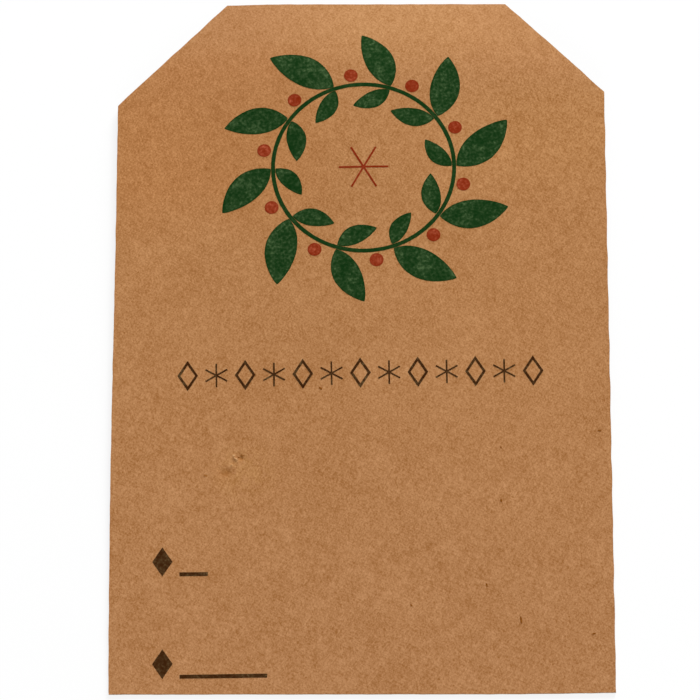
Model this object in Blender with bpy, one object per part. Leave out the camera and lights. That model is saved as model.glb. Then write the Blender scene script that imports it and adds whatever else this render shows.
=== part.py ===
"""Self-adhesive gift tag: kraft paper cut to a luggage-tag outline, on a release liner that is slit in two.

Units are metres. +Z points out of the printed face, +Y to the clipped end and +X to the tag's right.
The origin is under the middle of the tag, on the surface that the liner lies on.
"""

import bpy

# Driving dimensions
TAG_WIDTH = 0.0508
TAG_LENGTH = 0.0762
LEFT_CLIP_ACROSS = 0.0115  # what the left corner's cut takes off the head
LEFT_CLIP_ALONG = 0.0119  # and off the side
RIGHT_CLIP_ACROSS = 0.0102  # the tag was cut a little off centre, so this corner lost less
RIGHT_CLIP_ALONG = 0.0106
FACE_THICKNESS = 0.00012
ADHESIVE_THICKNESS = 0.000025
LINER_THICKNESS = 0.00007
BOND_GAP = 0.00001  # between layers that are stuck together
SLIT_WIDTH = 0.0002
SLIT_Y = 0.0  # the slit crosses the liner half way along
PEEL_CLEARANCE = 0.0001  # from the end of a liner half out to the line it turns about

# Layer heights, from the surface upwards
ADHESIVE_BOTTOM = LINER_THICKNESS + BOND_GAP
FACE_BOTTOM = ADHESIVE_BOTTOM + ADHESIVE_THICKNESS + BOND_GAP
BOND_LINE = LINER_THICKNESS + BOND_GAP / 2  # height of both peel axes

# Outline positions
SIDE = TAG_WIDTH / 2
HEAD = TAG_LENGTH / 2
FOOT = -TAG_LENGTH / 2

COLLECTION_NAME = "adhesive_gift_tag"
KRAFT_BROWN = (0.447, 0.207, 0.076)
ADHESIVE_TAN = (0.520, 0.285, 0.120)
GLASSINE_WHITE = (0.780, 0.740, 0.640)
KRAFT_ROUGHNESS = 0.85
ADHESIVE_ROUGHNESS = 0.25
GLASSINE_ROUGHNESS = 0.5


def clear_scene():
    for item in list(bpy.data.objects):
        bpy.data.objects.remove(item, do_unlink=True)


def new_collection(name):
    collection = bpy.data.collections.new(name)
    bpy.context.scene.collection.children.link(collection)
    return collection


def new_material(name, colour, roughness):
    material = bpy.data.materials.new(name)
    material.use_nodes = True
    shader = material.node_tree.nodes["Principled BSDF"]
    shader.inputs["Base Color"].default_value = (*colour, 1.0)
    shader.inputs["Roughness"].default_value = roughness
    shader.inputs["Metallic"].default_value = 0.0
    return material


def clipped_outline(lower_edge):
    """Outline of the tag from the given lower edge up to the clipped end, anticlockwise."""
    return [
        (-SIDE, lower_edge),
        (SIDE, lower_edge),
        (SIDE, HEAD - RIGHT_CLIP_ALONG),
        (SIDE - RIGHT_CLIP_ACROSS, HEAD),
        (-SIDE + LEFT_CLIP_ACROSS, HEAD),
        (-SIDE, HEAD - LEFT_CLIP_ALONG),
    ]


def square_outline(lower_edge, upper_edge):
    return [(-SIDE, lower_edge), (SIDE, lower_edge), (SIDE, upper_edge), (-SIDE, upper_edge)]


def add_layer(collection, name, outline, bottom, thickness, material):
    """A flat layer of the laminate: the outline as a filled 2D curve, extruded to its thickness."""
    curve = bpy.data.curves.new(name, "CURVE")
    curve.dimensions = "2D"
    curve.fill_mode = "BOTH"
    curve.extrude = thickness / 2
    spline = curve.splines.new("POLY")
    spline.points.add(len(outline) - 1)
    for point, (x, y) in zip(spline.points, outline):
        point.co = (x, y, 0.0, 1.0)
    spline.use_cyclic_u = True
    curve.materials.append(material)
    layer = bpy.data.objects.new(name, curve)
    layer.location = (0.0, 0.0, bottom + thickness / 2)
    collection.objects.link(layer)
    return layer


def hang_on_peel_axis(collection, liner, axis_name, axis_y):
    """Parents a liner half to an empty on the line, along X, that the half turns about as it is peeled."""
    axis = bpy.data.objects.new(axis_name, None)
    axis.empty_display_type = "SINGLE_ARROW"
    axis.location = (0.0, axis_y, BOND_LINE)
    collection.objects.link(axis)
    liner.parent = axis
    liner.location -= axis.location


def add_kraft_face(collection):
    material = new_material("kraft_paper", KRAFT_BROWN, KRAFT_ROUGHNESS)
    outline = clipped_outline(FOOT)
    add_layer(collection, "kraft_face", outline, FACE_BOTTOM, FACE_THICKNESS, material)


def add_adhesive_film(collection):
    material = new_material("adhesive", ADHESIVE_TAN, ADHESIVE_ROUGHNESS)
    outline = clipped_outline(FOOT)
    add_layer(collection, "adhesive_film", outline, ADHESIVE_BOTTOM, ADHESIVE_THICKNESS, material)


def add_upper_liner(collection):
    material = new_material("upper_release_paper", GLASSINE_WHITE, GLASSINE_ROUGHNESS)
    outline = clipped_outline(SLIT_Y + SLIT_WIDTH / 2)
    liner = add_layer(collection, "upper_liner", outline, 0.0, LINER_THICKNESS, material)
    hang_on_peel_axis(collection, liner, "upper_peel_axis", HEAD + PEEL_CLEARANCE)


def add_lower_liner(collection):
    material = new_material("lower_release_paper", GLASSINE_WHITE, GLASSINE_ROUGHNESS)
    outline = square_outline(FOOT, SLIT_Y - SLIT_WIDTH / 2)
    liner = add_layer(collection, "lower_liner", outline, 0.0, LINER_THICKNESS, material)
    hang_on_peel_axis(collection, liner, "lower_peel_axis", FOOT - PEEL_CLEARANCE)


def main():
    clear_scene()
    collection = new_collection(COLLECTION_NAME)
    add_kraft_face(collection)
    add_adhesive_film(collection)
    add_upper_liner(collection)
    add_lower_liner(collection)


main()
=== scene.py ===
import math

import bmesh
import bpy
from mathutils import Matrix, Vector, noise


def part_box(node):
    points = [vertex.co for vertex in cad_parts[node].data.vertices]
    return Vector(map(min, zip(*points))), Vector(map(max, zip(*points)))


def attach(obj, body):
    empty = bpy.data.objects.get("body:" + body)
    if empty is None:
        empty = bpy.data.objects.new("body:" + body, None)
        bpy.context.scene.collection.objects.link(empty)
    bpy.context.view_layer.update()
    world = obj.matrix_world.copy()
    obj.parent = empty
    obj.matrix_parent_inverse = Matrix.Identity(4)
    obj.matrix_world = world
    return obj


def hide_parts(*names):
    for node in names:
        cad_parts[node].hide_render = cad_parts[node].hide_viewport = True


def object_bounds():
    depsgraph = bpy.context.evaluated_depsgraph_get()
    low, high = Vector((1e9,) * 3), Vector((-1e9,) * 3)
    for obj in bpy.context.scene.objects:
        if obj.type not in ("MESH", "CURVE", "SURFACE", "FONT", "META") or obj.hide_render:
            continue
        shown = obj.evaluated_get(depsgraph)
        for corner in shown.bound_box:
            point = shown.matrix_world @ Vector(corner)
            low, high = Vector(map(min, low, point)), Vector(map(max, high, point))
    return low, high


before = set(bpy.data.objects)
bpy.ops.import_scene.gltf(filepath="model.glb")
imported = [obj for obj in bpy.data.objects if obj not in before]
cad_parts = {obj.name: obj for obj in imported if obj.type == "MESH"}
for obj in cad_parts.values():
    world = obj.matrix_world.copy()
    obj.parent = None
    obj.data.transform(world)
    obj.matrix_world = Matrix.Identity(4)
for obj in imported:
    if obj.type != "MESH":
        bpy.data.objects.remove(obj)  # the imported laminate: kraft face, adhesive film and two liner halves
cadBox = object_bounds()
print("frame loaded:", ", ".join(sorted(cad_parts)))

noise.seed_set(3)  # noise_vector gives the same wander each run

mm = 0.001
hair = 0.01 * mm
sharpAngle = math.radians(40)  # edges bent further than this stay crisp
noiseMean = 0.5  # of every noise texture
faceLow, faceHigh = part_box("kraft_face")
tagWidth = faceHigh.x - faceLow.x
facePoints = [v.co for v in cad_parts["kraft_face"].data.vertices]
headEnds = sorted(p.x for p in facePoints if p.y > faceHigh.y - hair)
leftTop = max(p.y for p in facePoints if p.x < faceLow.x + hair)
rightTop = max(p.y for p in facePoints if p.x > faceHigh.x - hair)


# how the stuck layers lie: the tag arches off the table and comes down at its head and foot
sheetForm = {
    "cell": 1.27 * mm,  # grid of the sheet, 40 by 60 cells
    "rimCuts": 9,  # extra points between grid lines along the cut edges
    "riseLeft": 0.40 * mm,
    "riseRight": 0.92 * mm,
    "twistFrom": -20.0 * mm,  # the arch grows from left to right between these
    "twistTo": 2.0 * mm,
    "headRun": 9.2 * mm,  # the head bends down over this length
    "footRun": 66.0 * mm,
    "cockle": 0.09 * mm,  # slow unevenness of the sheet
    "cockleSize": 14.0 * mm,
}
cutForm = {
    "pull": 3.0 * mm,  # how far a cut that strays pulls on the cuts beside it
    "leftInset": 0.07 * mm,
    "leftBulge": 0.135 * mm,  # the left cut wanders outwards below the middle
    "bulgeMiddle": -14.0 * mm,
    "bulgeRun": 18.0 * mm,
    "leftDrift": 0.07 * mm,  # and pulls in at the foot
    "leftDriftRun": 6.0 * mm,
    "rightInset": 0.03 * mm,
    "footInset": 0.015 * mm,
    "footDrift": 0.15 * mm,  # the foot cut climbs towards the right corner
    "footDriftRun": 13.5 * mm,
    "headDrift": 0.14 * mm,  # the head cut drops towards the left corner
    "headDriftRun": 8.0 * mm,
    "hollow": 0.055 * mm,  # of the two corner cuts, half way along
    "tiePitch": 4.7625 * mm,  # a ripple on the right edge, as torn ties 3/16 inch apart would leave
    "tieStart": 22.9 * mm,
    "tieHeight": 0.045 * mm,
    "wander": 0.035 * mm,
    "wanderSize": 1.5 * mm,
    "fray": 0.007 * mm,
    "fraySize": 0.2 * mm,
    "noiseHeight": 0.3 * mm,  # level at which wander and fray are read
}
# a knock in the paper, left of the middle
scuff = {
    "centre": (-13.0 * mm, -13.6 * mm),
    "reach": 2.4 * mm,  # the grid is finer this near
    "cuts": 13,
    "dents": (  # hollows and raised fibres: place, radius and height in mm
        (-12.96, -12.83, 0.14, 0.034),
        (-12.94, -13.06, 0.16, 0.032),
        (-12.78, -13.15, 0.16, 0.036),
        (-12.62, -13.24, 0.16, 0.032),
        (-12.22, -13.06, 0.26, -0.064),
        (-12.92, -13.54, 0.22, -0.020),
        (-13.16, -13.86, 0.14, 0.028),
        (-13.62, -14.58, 0.40, -0.054),
        (-14.08, -14.86, 0.32, -0.030),
    ),
    "rubbed": (1.05, 1.085, 1.03, 1),  # a lighter patch, below and right of the hollows
    "rubCentre": (-12.0 * mm, -14.5 * mm),
    "rubReach": (3.8 * mm, 1.2 * mm),
    "rubSize": 0.8 * mm,
    "rubCover": (0.35, 0.55),
    "soilAndShade": (0.76, 0.63, 0.40, 1),  # brown soil and painted shade, gathering in the hollows, darkest where deepest
    "soilAndShadeDepth": 0.055 * mm,
}


def easeOut(t):
    t = max(0.0, min(1.0, t))
    return 1.5 * t - 0.5 * t ** 3  # steepest at the edge, level where the run ends


def easeBoth(t):
    t = max(0.0, min(1.0, t))
    return t * t * (3 - 2 * t)


def fade(gap, run):
    return max(0.0, 1 - gap / run) ** 2


def sheetLift(x, y):
    form = sheetForm
    twist = easeBoth((x - form["twistFrom"]) / (form["twistTo"] - form["twistFrom"]))
    rise = form["riseLeft"] + (form["riseRight"] - form["riseLeft"]) * twist
    rise += form["cockle"] * noise.noise(Vector((x, y, 0.0)) / form["cockleSize"])
    head = easeOut((faceHigh.y - y) / form["headRun"])
    foot = easeOut((y - faceLow.y) / form["footRun"])
    return rise * head * foot


def cutDrift(x, y):
    # how far a point on the cut edge strays from the true outline
    form = cutForm
    tie = math.cos((y - form["tieStart"]) / form["tiePitch"] * 2 * math.pi)
    right = tie * form["tieHeight"] / 2 - form["rightInset"]
    left = form["leftInset"] + form["leftDrift"] * fade(y - faceLow.y, form["leftDriftRun"])
    left -= form["leftBulge"] * math.exp(-((y - form["bulgeMiddle"]) / form["bulgeRun"]) ** 2)
    foot = form["footInset"] + form["footDrift"] * fade(faceHigh.x - x, form["footDriftRun"])
    dx = right * fade(faceHigh.x - x, form["pull"]) + left * fade(x - faceLow.x, form["pull"])
    dy = foot * fade(y - faceLow.y, form["pull"])
    sideTop = leftTop if x < 0 else rightTop
    if sideTop < y < faceHigh.y:
        t = (faceHigh.y - y) / (faceHigh.y - sideTop)
        sag = form["hollow"] * 4 * t * (1 - t) * math.sqrt(0.5)
        dx -= math.copysign(sag, x)
        dy -= sag
    cornerGap = math.hypot(x - headEnds[0], y - faceHigh.y)
    slip = form["headDrift"] * fade(cornerGap, form["headDriftRun"])
    dx -= slip * (headEnds[0] - faceLow.x) / (faceHigh.y - leftTop)  # along the corner's cut
    dy -= slip
    spot = Vector((x, y, form["noiseHeight"]))
    rough = noise.noise_vector(spot / form["fraySize"]) * form["fray"]
    rough += noise.noise_vector(spot / form["wanderSize"]) * form["wander"]
    return dx + rough.x, dy + rough.y


def scuffRelief(x, y):
    height = 0.0
    for dentX, dentY, radius, rise in scuff["dents"]:
        away = math.hypot(x / mm - dentX, y / mm - dentY) / radius
        height += rise * mm * math.exp(-away ** 2)
    return height


def cutAway(bm, start, end):
    # removes what lies to the right of the line from start to end
    everything = bm.verts[:] + bm.edges[:] + bm.faces[:]
    right = (end[1] - start[1], start[0] - end[0], 0)
    spot = (*start, 0)
    bmesh.ops.bisect_plane(bm, geom=everything, plane_co=spot, plane_no=right, clear_outer=True)


def sheetMesh(low, high, scuffed=False):
    form = sheetForm
    thick = high.z - low.z
    bm = bmesh.new()
    across = round(tagWidth / form["cell"])
    along = round((high.y - low.y) / form["cell"])
    bmesh.ops.create_grid(bm, x_segments=across, y_segments=along, size=0.5)
    bmesh.ops.scale(bm, vec=(tagWidth, high.y - low.y, 1), verts=bm.verts)
    bmesh.ops.translate(bm, vec=(0, (low.y + high.y) / 2, 0), verts=bm.verts)
    cutAway(bm, (faceHigh.x, rightTop), (headEnds[-1], faceHigh.y))
    cutAway(bm, (headEnds[0], faceHigh.y), (faceLow.x, leftTop))
    rim = [e for e in bm.edges if e.is_boundary]
    bmesh.ops.subdivide_edges(bm, edges=rim, cuts=form["rimCuts"])
    for v in [v for v in bm.verts if v.is_boundary]:
        dx, dy = cutDrift(v.co.x, v.co.y)
        v.co.x += dx
        v.co.y += dy
    if scuffed:
        middle = Vector(scuff["centre"])
        inside = {v for v in bm.verts if (v.co.xy - middle).length < scuff["reach"]}
        near = [e for e in bm.edges if inside.issuperset(e.verts)]
        bmesh.ops.subdivide_edges(bm, edges=near, cuts=scuff["cuts"], use_grid_fill=True)
    bmesh.ops.solidify(bm, geom=bm.faces[:], thickness=thick)
    soilAndShade = bm.verts.layers.float.new("soilAndShade")
    for v in bm.verts:
        relief = scuffRelief(v.co.x, v.co.y) if scuffed and v.co.z > -thick / 2 else 0.0
        v.co.z += high.z + sheetLift(v.co.x, v.co.y) + relief
        # how much brown soil and painted shade a point gets, by the depth of its hollow
        v[soilAndShade] = max(0.0, -relief / scuff["soilAndShadeDepth"])
    return bm


def finishPiece(name, bm, materials, body, standsFor=None):
    manySided = [f for f in bm.faces if len(f.verts) > 4]
    bmesh.ops.triangulate(bm, faces=manySided, ngon_method="BEAUTY")
    bm.normal_update()
    for f in bm.faces:
        f.smooth = True
    for e in bm.edges:
        e.smooth = e.calc_face_angle(math.pi) < sharpAngle
    mesh = bpy.data.meshes.new(name)
    bm.to_mesh(mesh)
    bm.free()
    for material in materials:
        mesh.materials.append(material)
    piece = bpy.data.objects.new(name, mesh)
    bpy.context.scene.collection.objects.link(piece)
    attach(piece, body)
    if standsFor:
        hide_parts(standsFor)
    return piece


# small helpers for shader trees
def put(tree, kind, inputs=None, **settings):
    node = tree.nodes.new("ShaderNode" + kind)
    for key, value in settings.items():
        setattr(node, key, value)
    for key, value in (inputs or {}).items():
        if isinstance(value, bpy.types.NodeSocket):
            tree.links.new(value, node.inputs[key])
        else:
            node.inputs[key].default_value = value
    return node


def calc(tree, operation, a, b=0.0, clamp=False):
    return put(tree, "Math", {0: a, 1: b}, operation=operation, use_clamp=clamp).outputs[0]


def ramp(tree, value, low, high):
    # 0 below low, 1 above high
    return put(tree, "MapRange", {"Value": value, "From Min": low, "From Max": high}).outputs[0]


def blendColours(tree, factor, a, b):
    return put(tree, "Mix", {0: factor, 6: a, 7: b}, data_type="RGBA").outputs[2]


def grainNoise(tree, vector, size, detail=2.0, roughness=0.55, distortion=0.0):
    values = {"Vector": vector, "Scale": 1 / size, "Detail": detail}
    values |= {"Roughness": roughness, "Distortion": distortion}
    return put(tree, "TexNoise", values).outputs["Fac"]


def strandNoise(tree, vector, angle, length, width, distortion):
    values = {"Vector": vector, "Angle": math.radians(angle)}
    turned = put(tree, "VectorRotate", values, rotation_type="Z_AXIS").outputs[0]
    stretch = (1 / length, 1 / width, 1 / length)
    drawn = put(tree, "Mapping", {"Vector": turned, "Scale": stretch}).outputs[0]
    return grainNoise(tree, drawn, 1.0, distortion=distortion)


def speckMask(tree, vector, spacing, radius, core, share):
    # sparse round specks, darkest in the core: a share of the cells has one
    cells = put(tree, "TexVoronoi", {"Vector": vector, "Scale": 1 / spacing, "Randomness": 1.0})
    near = ramp(tree, cells.outputs["Distance"], radius / spacing, core * radius / spacing)
    draw = put(tree, "SeparateColor", {0: cells.outputs["Color"]}).outputs[0]
    return calc(tree, "MULTIPLY", near, calc(tree, "LESS_THAN", draw, share))


def newGroup(name, inputs, outputs):
    tree = bpy.data.node_groups.new(name, "ShaderNodeTree")
    for title, kind in inputs:
        tree.interface.new_socket(title, in_out="INPUT", socket_type="NodeSocket" + kind)
    for title, kind in outputs:
        tree.interface.new_socket(title, in_out="OUTPUT", socket_type="NodeSocket" + kind)
    entry = tree.nodes.new("NodeGroupInput")
    leave = tree.nodes.new("NodeGroupOutput")
    return tree, entry.outputs, leave.inputs


def placeGroup(tree, group, inputs):
    return put(tree, "Group", inputs, node_tree=group).outputs


fibreLook = {
    "grainSize": 0.20 * mm,
    "grainDetail": 3.0,
    "grainRoughness": 0.65,
    "strandLength": 0.85 * mm,
    "strandWidth": 0.13 * mm,
    "strandAngles": (76, 28, -55),  # a little more along the tag than across it
    "strandWander": 0.6,
    "mottleSize": 1.3 * mm,
    "cloudSize": 7.0 * mm,
    "grainShare": 1.7,
    "strandShare": 0.85,
    "mottleShare": 0.45,
    "cloudShare": 0.34,
    "speckSpacing": 1.45 * mm,
    "speckRadius": 0.11 * mm,
    "speckCore": 0.4,
    "speckShare": 0.5,
    "speckDepth": 0.8,
}


def makeFibreGroup():
    look = fibreLook
    sockets = [("Vector", "Vector"), ("Contrast", "Float")]
    sockets += [("Deep Tone", "Color"), ("Pale Tone", "Color")]
    tree, given, result = newGroup("paperFibre", sockets, [("Color", "Color"), ("Height", "Float")])
    place = given["Vector"]
    grain = grainNoise(tree, place, look["grainSize"], look["grainDetail"], look["grainRoughness"])
    layers = [
        (grain, look["grainShare"]),
        (grainNoise(tree, place, look["mottleSize"]), look["mottleShare"]),
        (grainNoise(tree, place, look["cloudSize"]), look["cloudShare"]),
    ]
    strandSize = (look["strandLength"], look["strandWidth"])
    for angle in look["strandAngles"]:
        strand = strandNoise(tree, place, angle, *strandSize, look["strandWander"])
        layers.append((strand, look["strandShare"]))
    total = 0.0
    for value, share in layers:
        weighed = calc(tree, "MULTIPLY", calc(tree, "SUBTRACT", value, noiseMean), share)
        total = calc(tree, "ADD", total, weighed)
    speckSize = (look["speckSpacing"], look["speckRadius"], look["speckCore"])
    speck = speckMask(tree, place, *speckSize, look["speckShare"])
    marked = calc(tree, "SUBTRACT", total, calc(tree, "MULTIPLY", speck, look["speckDepth"]))
    tone = calc(tree, "ADD", calc(tree, "MULTIPLY", marked, given["Contrast"]), noiseMean, clamp=True)
    colour = blendColours(tree, tone, given["Deep Tone"], given["Pale Tone"])
    tree.links.new(colour, result["Color"])
    tree.links.new(calc(tree, "ADD", total, noiseMean, clamp=True), result["Height"])
    return tree


inkLook = {
    "grainSize": 0.30 * mm,
    "patchSize": 1.6 * mm,
    "grainShare": 5.8,
    "patchShare": 3.8,
    "rimLevel": 0.55,  # the squeezed rim is fuller and cleaner than the field inside it
}


def makeInkGroup():
    look = inkLook
    sockets = [("Vector", "Vector"), ("Full Ink", "Color"), ("Thin Ink", "Color")]
    sockets += [("Thinness", "Float"), ("Field", "Float")]
    tree, given, result = newGroup("printedInk", sockets, [("Color", "Color")])
    level = put(tree, "MapRange", {"Value": given["Field"], "To Min": look["rimLevel"]}).outputs[0]
    layers = [(look["grainSize"], look["grainShare"]), (look["patchSize"], look["patchShare"])]
    spread = 0.0
    for size, share in layers:
        grain = calc(tree, "SUBTRACT", grainNoise(tree, given["Vector"], size), noiseMean)
        spread = calc(tree, "ADD", spread, calc(tree, "MULTIPLY", grain, share))
    gaps = calc(tree, "EXPONENT", calc(tree, "MULTIPLY", spread, level))
    bare = calc(tree, "MULTIPLY", gaps, level)
    thin = calc(tree, "MULTIPLY", bare, given["Thinness"], clamp=True)
    colour = blendColours(tree, thin, given["Full Ink"], given["Thin Ink"])
    tree.links.new(colour, result["Color"])
    return tree


fibreGroup = makeFibreGroup()
inkGroup = makeInkGroup()
print("shader groups made")


def newMaterial(name, shine, roughness):
    material = bpy.data.materials.new(name)
    material.use_nodes = True
    tree = material.node_tree
    shader = tree.nodes["Principled BSDF"]
    shader.inputs["Specular IOR Level"].default_value = shine
    shader.inputs["Roughness"].default_value = roughness
    place = put(tree, "TexCoord").outputs["Object"]
    return material, tree, shader, place


def addBump(tree, shader, height, depth, strength):
    bump = put(tree, "Bump", {"Height": height, "Distance": depth, "Strength": strength})
    tree.links.new(bump.outputs[0], shader.inputs["Normal"])


def fibreColour(tree, place, look):
    values = {"Vector": place, "Contrast": look["contrast"]}
    values |= {"Deep Tone": look["deep"], "Pale Tone": look["pale"]}
    return placeGroup(tree, fibreGroup, values)


kraftLook = {
    "deep": (0.318, 0.119, 0.024, 1),
    "pale": (0.571, 0.285, 0.123, 1),
    "contrast": 0.95,
    "shine": 0.20,
    "roughness": 0.8,
    "fibreDepth": 0.02 * mm,
    "bumpStrength": 0.3,
    "headContrast": 0.80,  # the fibres show less along the head
    "headFrom": (29.0 * mm, 35.0 * mm),
    # slow changes of colour, three of them painted light and shade: tint, and where it comes and goes along
    # and across the tag, in mm
    "tintsAndPaintedLight": (
        ((1.0, 0.985, 0.89, 1), ((-34, 16), (38, 24)), ()),  # yellower above the middle
        ((1.0, 0.950, 0.88, 1), ((10, 17), (34, 30)), ((0, -8),)),  # redder at the upper left
        ((1.015, 1.055, 1.035, 1), ((29, 35),), ((-11, 0), (16, 9))),  # painted highlight: paler on the head's right half, where the bent head catches the back lamp
        ((0.96, 0.97, 0.94, 1), ((30, 34),), ((11, 16),)),  # painted shade: duller where that highlight meets the cut
        ((1.035, 1.045, 1.02, 1), ((15, 21), (31, 27)), ((7, 15),)),  # painted light: lighter again below it, towards the right
    ),
}


def tintMask(tree, place, along, across):
    spot = put(tree, "SeparateXYZ", {0: place}).outputs
    ranges = [("Y", pair) for pair in along] + [("X", pair) for pair in across]
    mask = 1.0
    for axis, (start, full) in ranges:
        mask = calc(tree, "MULTIPLY", mask, ramp(tree, spot[axis], start * mm, full * mm))
    return mask


def makeKraft():
    look = kraftLook
    material, tree, shader, place = newMaterial("kraftPaper", look["shine"], look["roughness"])
    along = put(tree, "SeparateXYZ", {0: place}).outputs["Y"]
    atHead = ramp(tree, along, *look["headFrom"])
    levels = {"Value": atHead, "To Min": look["contrast"], "To Max": look["headContrast"]}
    contrast = put(tree, "MapRange", levels).outputs[0]
    fibre = fibreColour(tree, place, {**look, "contrast": contrast})
    rubSpot = (*scuff["rubCentre"], faceHigh.z)
    away = put(tree, "VectorMath", {0: place, 1: rubSpot}, operation="DISTANCE")
    near = ramp(tree, away.outputs["Value"], *scuff["rubReach"])
    patchy = ramp(tree, grainNoise(tree, place, scuff["rubSize"]), *scuff["rubCover"])
    hollows = put(tree, "Attribute", attribute_name="soilAndShade").outputs["Fac"]
    washes = [(tintMask(tree, place, along, across), tint) for tint, along, across in look["tintsAndPaintedLight"]]
    washes.append((calc(tree, "MULTIPLY", near, patchy), scuff["rubbed"]))
    # brown soil and painted shade in the hollows
    washes.append((hollows, scuff["soilAndShade"]))
    colour = fibre["Color"]
    for amount, tint in washes:
        values = {0: amount, 6: colour, 7: tint}
        colour = put(tree, "Mix", values, data_type="RGBA", blend_type="MULTIPLY").outputs[2]
    tree.links.new(colour, shader.inputs["Base Color"])
    addBump(tree, shader, fibre["Height"], look["fibreDepth"], look["bumpStrength"])
    return material


inkShine = 0.02
inkColours = {
    "green": {"full": (0.001, 0.027, 0.002, 1), "thin": (0.070, 0.127, 0.047, 1), "thinness": 0.21},
    "red": {"full": (0.220, 0.017, 0.001, 1), "thin": (0.500, 0.112, 0.050, 1), "thinness": 0.21},
    "dark": {"full": (0.039, 0.009, 0.000, 1), "thin": (0.132, 0.080, 0.032, 1), "thinness": 0.22},
}
rimmedInks = ("green", "red")  # printed in shapes broad enough to have a rim


def makeInk(name, full, thin, thinness):
    look = kraftLook
    material, tree, shader, place = newMaterial(name + "Ink", inkShine, look["roughness"])
    values = {"Vector": place, "Full Ink": full, "Thin Ink": thin, "Thinness": thinness, "Field": 1.0}
    if name in rimmedInks:
        values["Field"] = put(tree, "Attribute", attribute_name="inkField").outputs["Fac"]
    tree.links.new(placeGroup(tree, inkGroup, values)["Color"], shader.inputs["Base Color"])
    height = fibreColour(tree, place, look)["Height"]
    addBump(tree, shader, height, look["fibreDepth"], look["bumpStrength"])
    return material


glueLook = {
    "deep": (0.36, 0.17, 0.06, 1),
    "pale": (0.56, 0.31, 0.13, 1),
    "contrast": 0.5,
    "shine": 0.5,
    "roughness": 0.22,
    "rippleSize": 0.9 * mm,
    "rippleDepth": 0.02 * mm,
    "bumpStrength": 0.3,
}


def makeGlue():
    look = glueLook
    material, tree, shader, place = newMaterial("tackyAdhesive", look["shine"], look["roughness"])
    tree.links.new(fibreColour(tree, place, look)["Color"], shader.inputs["Base Color"])
    ripple = grainNoise(tree, place, look["rippleSize"])
    addBump(tree, shader, ripple, look["rippleDepth"], look["bumpStrength"])
    return material


linerLook = {
    "deep": (0.66, 0.62, 0.52, 1),
    "pale": (0.88, 0.85, 0.76, 1),
    "contrast": 0.5,
    "fibreDepth": 0.006 * mm,
    "bumpStrength": 0.3,
    "facingUp": 0.5,  # a face whose normal rises more than this is on the release side
    "sides": {"linerBack": (0.4, 0.55), "linerRelease": (0.5, 0.28)},  # shine and roughness
}


def makeLiner(name):
    look = linerLook
    material, tree, shader, place = newMaterial(name, *look["sides"][name])
    fibre = fibreColour(tree, place, look)
    tree.links.new(fibre["Color"], shader.inputs["Base Color"])
    addBump(tree, shader, fibre["Height"], look["fibreDepth"], look["bumpStrength"])
    return material


kraft = makeKraft()
inks = {name: makeInk(name, **settings) for name, settings in inkColours.items()}
glue = makeGlue()
linerSides = [makeLiner(name) for name in linerLook["sides"]]
print("materials made")


# the stuck layers, from the printed face down
def makeLayer(name, node, materials, body, scuffed=False):
    return finishPiece(name, sheetMesh(*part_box(node), scuffed), materials, body, node)


makeLayer("kraft_sheet", "kraft_face", [kraft], "tag", scuffed=True)
makeLayer("adhesive_coat", "adhesive_film", [glue], "tag")
for half in ("upper", "lower"):
    body = half + "_backing"
    liner = makeLayer(half + "_liner_sheet", half + "_liner", linerSides, body)
    for face in liner.data.polygons:
        # the release side faces the adhesive
        face.material_index = 1 if face.normal.z > linerLook["facingUp"] else 0
print("paper, adhesive and liner laid")


# printing on the face
printForm = {
    "turn": 0.7,  # degrees; the print sits a little askew on the cut tag
    "film": 0.010 * mm,
    "above": 0.015 * mm,  # top of the ink over the paper
    "waver": 0.02 * mm,  # unevenness of the ink's edge
    "waverSize": 0.5 * mm,
    "rim": 0.22 * mm,
    "leafSides": 48,
    "berrySides": 32,
    "ringSides": 96,
    "lozengeSides": 4,
    "flakeArms": 6,
    "fleckSides": 10,
}


def turnBy(degrees):
    return Matrix.Rotation(math.radians(degrees), 4, "Z")


def printPlace(x, y):
    return turnBy(printForm["turn"]) @ Matrix.Translation((x, y, 0))


def newPrint():
    bm = bmesh.new()
    bm.verts.layers.float.new("inkField")
    return bm


def squeezeRim(bm, face, length, width):
    # marks the field of a broad shape off from its rim, before the shape is put in place
    field = bm.verts.layers.float["inkField"]
    middle = face.calc_center_bounds()
    outer = list(face.verts)
    bmesh.ops.inset_individual(bm, faces=[face], thickness=0)
    shrink = (1 - 2 * printForm["rim"] / length, 1 - 2 * printForm["rim"] / width, 1)
    bmesh.ops.scale(bm, vec=shrink, space=Matrix.Translation(-middle), verts=face.verts)
    for v in face.verts:
        v[field] = 1.0
    return outer + list(face.verts)


def layFilm(name, bm, materials):
    # cuts the flat shapes along the sheet's grid, thickens them and sets them on the arched paper
    cell = sheetForm["cell"]
    for axis, low, high in ((0, faceLow.x, faceHigh.x), (1, faceLow.y, faceHigh.y)):
        normal = (1, 0, 0) if axis == 0 else (0, 1, 0)
        for step in range(1, round((high - low) / cell)):
            spot = [0, 0, 0]
            spot[axis] = low + step * cell
            everything = bm.verts[:] + bm.edges[:] + bm.faces[:]
            bmesh.ops.bisect_plane(bm, geom=everything, plane_co=spot, plane_no=normal)
    for v in bm.verts:
        v.co += noise.noise_vector(v.co / printForm["waverSize"]) * printForm["waver"]
        v.co.z = 0
    bmesh.ops.solidify(bm, geom=bm.faces[:], thickness=printForm["film"])
    for v in bm.verts:
        paper = faceHigh.z + printForm["above"] + sheetLift(v.co.x, v.co.y)
        v.co.z += paper + scuffRelief(v.co.x, v.co.y)
    return finishPiece(name, bm, materials, "tag")


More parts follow.
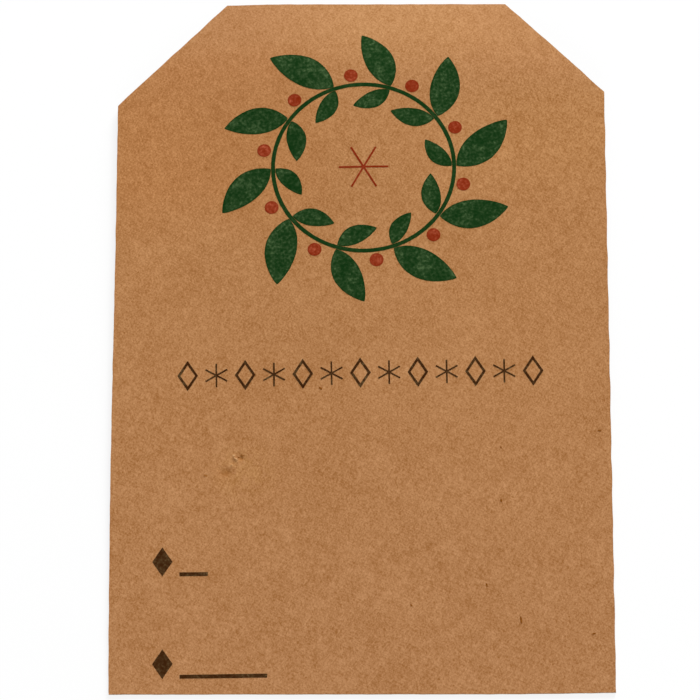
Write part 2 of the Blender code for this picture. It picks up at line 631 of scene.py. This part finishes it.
def addLeaf(bm, length, width, bend, place):
    made = bmesh.ops.create_circle(bm, cap_ends=True, segments=printForm["leafSides"], radius=1)
    for v in made["verts"]:
        along, side = v.co.x, v.co.y
        outline = math.copysign(abs(side) ** wreath["leafPoint"], side)
        taper = 1 - wreath["leafTaper"] * along
        v.co.x = (along + 1) * length / 2
        v.co.y = outline * width / 2 * taper + bend * (1 - along ** 2)
    verts = squeezeRim(bm, made["verts"][0].link_faces[0], length, width)
    bmesh.ops.transform(bm, matrix=place, verts=verts)


def addBerry(bm, radius, place):
    sides = printForm["berrySides"]
    made = bmesh.ops.create_circle(bm, cap_ends=True, segments=sides, radius=radius)
    verts = squeezeRim(bm, made["verts"][0].link_faces[0], 2 * radius, 2 * radius)
    bmesh.ops.transform(bm, matrix=place, verts=verts)


def addDisc(bm, radius, place, sides):
    made = bmesh.ops.create_circle(bm, cap_ends=True, segments=sides, radius=radius)
    bmesh.ops.transform(bm, matrix=place, verts=made["verts"])
    return made["verts"][0].link_faces[0]


def addRing(bm, radius, stroke, place, sides, stretch=1.0):
    made = bmesh.ops.create_circle(bm, cap_ends=True, segments=sides, radius=radius)
    face = made["verts"][0].link_faces[0]
    inset = {"thickness": stroke, "use_boundary": True, "use_even_offset": True}
    band = bmesh.ops.inset_region(bm, faces=[face], **inset)
    verts = list({v for f in band["faces"] for v in f.verts})
    bmesh.ops.delete(bm, geom=[face], context="FACES_ONLY")
    bmesh.ops.scale(bm, vec=(1, stretch, 1), verts=verts)
    bmesh.ops.transform(bm, matrix=place, verts=verts)


def addSnowflake(bm, radius, stroke, place):
    arms = printForm["flakeArms"]
    made = bmesh.ops.create_circle(bm, cap_ends=True, segments=arms, radius=stroke)
    verts = list(made["verts"])
    hub = made["verts"][0].link_faces[0]
    for edge in list(hub.edges):
        outward = (edge.verts[0].co + edge.verts[1].co).normalized() * (radius - stroke)
        arm = bmesh.ops.extrude_edge_only(bm, edges=[edge])
        tips = [g for g in arm["geom"] if isinstance(g, bmesh.types.BMVert)]
        bmesh.ops.translate(bm, vec=outward, verts=tips)
        verts += tips
    bmesh.ops.transform(bm, matrix=place, verts=verts)


def addBar(bm, length, stroke, place):
    made = bmesh.ops.create_grid(bm, x_segments=1, y_segments=1, size=0.5)
    bmesh.ops.scale(bm, vec=(length, stroke, 1), verts=made["verts"])
    bmesh.ops.transform(bm, matrix=place, verts=made["verts"])


wreath = {
    "centre": (0.5 * mm, 19.0 * mm),
    "radius": 9.4 * mm,
    "stroke": 0.42 * mm,
    "count": 10,
    "outer": (7.0 * mm, 3.1 * mm, 46),  # leaf length, width and lean from the ring
    "inner": (4.3 * mm, 1.9 * mm, -42),
    "leafBend": 0.25 * mm,
    "leafGap": 0.05 * mm,
    "leafPoint": 1.7,  # 1 is an oval, more draws the ends to points
    "leafTaper": 0.15,
    "sizeSwing": 0.07,  # the leaves differ by this much
    "sizeStep": 2.3,
    "berryRadius": 0.72 * mm,
    "berryGap": 0.18 * mm,
    "berryTurn": 0.68,  # of the way to the next leaf
    "starRadius": 2.6 * mm,
    "starStroke": 0.4 * mm,
}


def makeWreath():
    green, red = newPrint(), newPrint()
    centre = printPlace(*wreath["centre"])
    step = 2 * math.pi / wreath["count"]
    halfStroke = wreath["stroke"] / 2
    addRing(green, wreath["radius"] + halfStroke, wreath["stroke"], centre, printForm["ringSides"])
    for i in range(wreath["count"]):
        spoke = centre @ Matrix.Rotation(step * i, 4, "Z")
        for key, side in (("outer", 1), ("inner", -1)):
            length, width, lean = wreath[key]
            size = 1 + wreath["sizeSwing"] * math.sin(wreath["sizeStep"] * i + side)
            root = wreath["radius"] + side * (halfStroke + wreath["leafGap"])
            place = spoke @ Matrix.Translation((root, 0, 0)) @ turnBy(90 - lean)
            addLeaf(green, length * size, width * size, -side * wreath["leafBend"], place)
        out = wreath["radius"] + halfStroke + wreath["berryRadius"] + wreath["berryGap"]
        turn = Matrix.Rotation(step * wreath["berryTurn"], 4, "Z")
        addBerry(red, wreath["berryRadius"], spoke @ turn @ Matrix.Translation((out, 0, 0)))
    addSnowflake(red, wreath["starRadius"], wreath["starStroke"] / 2, centre)
    layFilm("wreath_print", green, [inks["green"]])
    layFilm("berry_print", red, [inks["red"]])


ornamentRow = {
    "centre": (-0.15 * mm, -3.85 * mm),
    "pitch": 2.94 * mm,
    "count": 13,
    "lozenge": (1.65 * mm, 0.64),  # half height and how narrow it is
    "flakeRadius": 1.3 * mm,
    "stroke": 0.34 * mm,
}
fieldMarks = {
    "left": -21.4 * mm,
    "rows": ((-23.9 * mm, 5.6 * mm), (-34.7 * mm, 11.5 * mm)),  # middle height and full width
    "lozenge": (1.55 * mm, 0.66),
    "ruleStroke": 0.40 * mm,
    "ruleGap": 0.7 * mm,
}


def makeDarkPrint():
    bm = bmesh.new()
    upright = turnBy(90)
    corners = printForm["lozengeSides"]
    stroke = fieldMarks["ruleStroke"]
    for i in range(ornamentRow["count"]):
        x = ornamentRow["centre"][0] + (i - (ornamentRow["count"] - 1) / 2) * ornamentRow["pitch"]
        place = printPlace(x, ornamentRow["centre"][1]) @ upright
        if i % 2 == 0:
            radius, narrow = ornamentRow["lozenge"]
            addRing(bm, radius, ornamentRow["stroke"], place, corners, narrow)
        else:
            addSnowflake(bm, ornamentRow["flakeRadius"], ornamentRow["stroke"] / 2, place)
    for y, width in fieldMarks["rows"]:
        radius, narrow = fieldMarks["lozenge"]
        half = radius * narrow
        place = printPlace(fieldMarks["left"] + half, y) @ upright
        addDisc(bm, radius, place @ Matrix.Diagonal((1, narrow, 1, 1)), corners)
        rule = width - 2 * half - fieldMarks["ruleGap"]
        x = fieldMarks["left"] + width - rule / 2
        addBar(bm, rule, stroke, printPlace(x, y - radius + stroke / 2))
    layFilm("dark_print", bm, [inks["dark"]])


# bits of bark and fibre in the paper, and marks in the scuff that are partly painted shade and highlight:
# place, length, width in mm and direction in degrees
fleckBits = {
    "dark": (
        (15.98, -30.37, 0.80, 0.21, 99),
        (12.57, -26.70, 0.44, 0.18, 105),
        (23.28, -31.83, 0.42, 0.17, 8),
        (14.11, -17.71, 0.39, 0.20, 86),
        (14.16, -11.99, 0.27, 0.15, 120),
        (24.19, -10.19, 0.36, 0.19, -8),
        (-4.17, -5.54, 0.42, 0.23, -31),
        (4.99, -28.81, 0.31, 0.16, 125),
        # in the scuff, beside the upper hollow: partly bark, partly painted shade deepening the hollow
        (-12.47, -12.96, 0.20, 0.10, 0),
    ),
    "brown": (
        (-15.82, -14.91, 0.46, 0.21, -20),
        # in the scuff's upper hollow: partly bark, partly painted shade deepening the hollow
        (-12.13, -12.78, 0.34, 0.20, -35),
    ),
    # on the scuff's raised fibres: torn fibre lighter in colour, partly a painted highlight on their tops
    "pale": (
        (-12.96, -12.77, 0.22, 0.17, 0),
        (-12.76, -13.10, 0.50, 0.13, -28),
        (-13.15, -13.78, 0.20, 0.13, 30),
    ),
}
fleckLook = {
    "dark": {"deep": (0.168, 0.048, 0.005, 1), "pale": (0.318, 0.111, 0.017, 1), "contrast": 0.8},
    "brown": {"deep": (0.255, 0.095, 0.020, 1), "pale": (0.443, 0.179, 0.048, 1), "contrast": 0.8},
    "pale": {"deep": (0.459, 0.241, 0.101, 1), "pale": (0.629, 0.369, 0.174, 1), "contrast": 0.8},
}


def makeFlecks():
    bm = bmesh.new()
    materials = []
    finish = (inkShine, kraftLook["roughness"])  # as dull as the ink
    for index, (name, bits) in enumerate(fleckBits.items()):
        material, tree, shader, place = newMaterial(name + "Fleck", *finish)
        colour = fibreColour(tree, place, fleckLook[name])["Color"]
        tree.links.new(colour, shader.inputs["Base Color"])
        materials.append(material)
        for x, y, length, width, angle in bits:
            spot = Matrix.Translation((x * mm, y * mm, 0)) @ turnBy(angle)
            drawn = spot @ Matrix.Diagonal((length, width, 1, 1))
            sliver = addDisc(bm, mm / 2, drawn, printForm["fleckSides"])  # 1 mm across, drawn out
            sliver.material_index = index
    layFilm("bark_flecks_and_painted_light", bm, materials)


makeWreath()
makeDarkPrint()
makeFlecks()
print("printing and flecks laid")


studio = {
    "floorSize": 6.0,
    "floorCells": 8,
    "floorShine": 0.0,
    "floorRoughness": 1.0,
    "floorDrop": 0.01 * mm,
    "floorColour": (0.16, 0.16, 0.16, 1),
    "floorGlow": 0.845,
    "ambient": 0.30,
}
lamps = {
    "back": {"bearing": 20, "elevation": 18, "distance": 2.0, "size": 0.9, "power": 80.0},
    "front": {"bearing": 180, "elevation": 10, "distance": 2.0, "size": 1.2, "power": 20.0},
}


def seenDirectly(tree):
    # 1 for rays that show the background itself
    path = put(tree, "LightPath").outputs
    direct = calc(tree, "MAXIMUM", path["Is Camera Ray"], path["Is Glossy Ray"])
    return calc(tree, "MAXIMUM", direct, path["Is Transmission Ray"])


def makeFloor():
    bm = bmesh.new()
    cells = studio["floorCells"]
    bmesh.ops.create_grid(bm, x_segments=cells, y_segments=cells, size=studio["floorSize"] / 2)
    bmesh.ops.translate(bm, vec=(0, 0, cadBox[0].z - studio["floorDrop"]), verts=bm.verts)
    mesh = bpy.data.meshes.new("table_top")
    bm.to_mesh(mesh)
    bm.free()
    finish = (studio["floorShine"], studio["floorRoughness"])
    material, tree, shader, _ = newMaterial("paleTable", *finish)
    shader.inputs["Base Color"].default_value = studio["floorColour"]
    shader.inputs["Emission Color"].default_value = (1, 1, 1, 1)
    glow = calc(tree, "MULTIPLY", seenDirectly(tree), studio["floorGlow"])
    tree.links.new(glow, shader.inputs["Emission Strength"])
    mesh.materials.append(material)
    floor = bpy.data.objects.new("table_top", mesh)
    bpy.context.scene.collection.objects.link(floor)


def makeWorld():
    world = bpy.data.worlds.new("studio")
    world.use_nodes = True
    tree = world.node_tree
    soft = put(tree, "Background", {"Color": (1, 1, 1, 1), "Strength": studio["ambient"]})
    white = put(tree, "Background", {"Color": (1, 1, 1, 1), "Strength": 1.0})
    mix = put(tree, "MixShader", {0: seenDirectly(tree), 1: soft.outputs[0], 2: white.outputs[0]})
    tree.links.new(mix.outputs[0], tree.nodes["World Output"].inputs["Surface"])
    bpy.context.scene.world = world


def makeLamp(name, bearing, elevation, distance, size, power):
    lamp = bpy.data.lights.new(name, "AREA")
    lamp.size = size
    lamp.energy = power
    around = Matrix.Rotation(-math.radians(bearing), 3, "Z")
    toLamp = around @ Matrix.Rotation(math.radians(elevation), 3, "X") @ Vector((0, 1, 0))
    holder = bpy.data.objects.new(name, lamp)
    holder.location = toLamp * distance
    holder.rotation_euler = (-toLamp).to_track_quat("-Z", "Y").to_euler()
    holder.visible_camera = False
    bpy.context.scene.collection.objects.link(holder)


makeFloor()
makeWorld()
for lampName, settings in lamps.items():
    makeLamp(lampName + "_softbox", **settings)
print("table and light set")


cameraView = {
    "lens": 267.2,
    "aim": (-1.16 * mm, -1.11 * mm),
    "distance": 532.1 * mm,
    "elevation": 68.09,
    "azimuth": -0.042,
    "roll": -0.099,
    "clipStart": 0.01,
}


def makeCamera():
    view = cameraView
    elevation, azimuth = math.radians(view["elevation"]), math.radians(view["azimuth"])
    level = math.cos(elevation)
    ahead = Vector((math.sin(azimuth) * level, math.cos(azimuth) * level, -math.sin(elevation)))
    data = bpy.data.cameras.new("photo_view")
    data.lens = view["lens"]
    data.clip_start = view["clipStart"]
    camera = bpy.data.objects.new("photo_view", data)
    camera.location = Vector((*view["aim"], faceHigh.z)) - ahead * view["distance"]
    roll = Matrix.Rotation(math.radians(view["roll"]), 3, "Z")
    turn = ahead.to_track_quat("-Z", "Y").to_matrix() @ roll
    camera.rotation_euler = turn.to_euler()
    bpy.context.scene.collection.objects.link(camera)
    bpy.context.scene.camera = camera


makeCamera()
bpy.context.scene.view_settings.view_transform = "Standard"
print("camera set")
